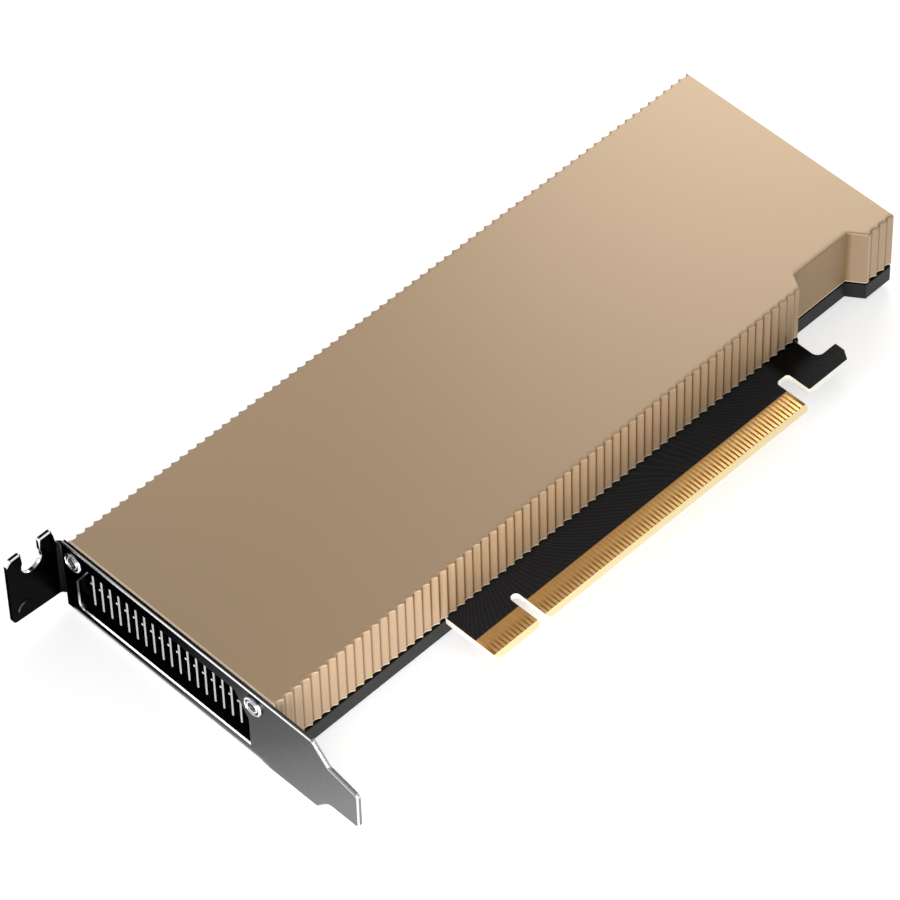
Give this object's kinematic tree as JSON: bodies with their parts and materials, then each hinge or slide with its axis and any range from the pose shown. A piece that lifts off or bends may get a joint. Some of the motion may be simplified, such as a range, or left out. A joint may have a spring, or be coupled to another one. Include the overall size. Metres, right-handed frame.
{
  "type": "passive accelerator card",
  "caption": "Low-profile single-slot expansion card with a fluted metal heatsink cover, a card-edge connector with a retention hook, and a windowed slot bracket for through airflow.",
  "frame": {"origin": "under the middle of the card's bounding box, on the surface that its lowest edge stands on, with the card lying on its back", "axes": "+X from the slot bracket to the far end, +Y away from the card-edge connector, +Z out of the cover side"},
  "size_m": [0.1802, 0.08, 0.0227],
  "materials": {
    "bronze_anodised": "satin bronze-gold anodised",
    "black_anodised": "matte black anodised",
    "bright_plated": "polished plated steel",
    "screw_metal": "bright plated steel",
    "fin_metal": "bare aluminium sheet",
    "copper": "bare copper",
    "laminate": "black solder mask over glass-fibre laminate",
    "gold_plate": "gold plated",
    "moulded_black": "moulded black resin",
    "silicon": "polished dark grey",
    "package_green": "green substrate",
    "paste": "grey compound",
    "thermal_pad": "soft blue-grey pad",
    "ferrite": "dark grey ferrite",
    "can_metal": "satin can",
    "capacitor_body": "tan ceramic",
    "film": "black insulating film",
    "post_metal": "bare brass"
  },
  "bodies": {
    "root": {"backplate": "black_anodised", "backplate_insulator": "film", "base_plate": "copper", "base_posts": "post_metal", "bracket_screws": "screw_metal", "circuit_board": "laminate", "clamp_screws": "screw_metal", "clock_crystal": "can_metal", "controller_chip": "moulded_black", "coupling_capacitors": "capacitor_body", "decoupling_capacitors": "capacitor_body", "die_paste": "paste", "fin_stack": "fin_metal", "firmware_chip": "moulded_black", "front_contacts": "gold_plate", "heatsink_cover": "bronze_anodised", "inductors": "ferrite", "input_capacitors": "can_metal", "io_bracket": "bright_plated", "memory_chips": "moulded_black", "memory_pads": "thermal_pad", "output_capacitors": "moulded_black", "power_stage_pad": "thermal_pad", "power_stages": "moulded_black", "processor_die": "silicon", "processor_package": "package_green", "rear_contacts": "gold_plate"}
  },
  "joints": []
}
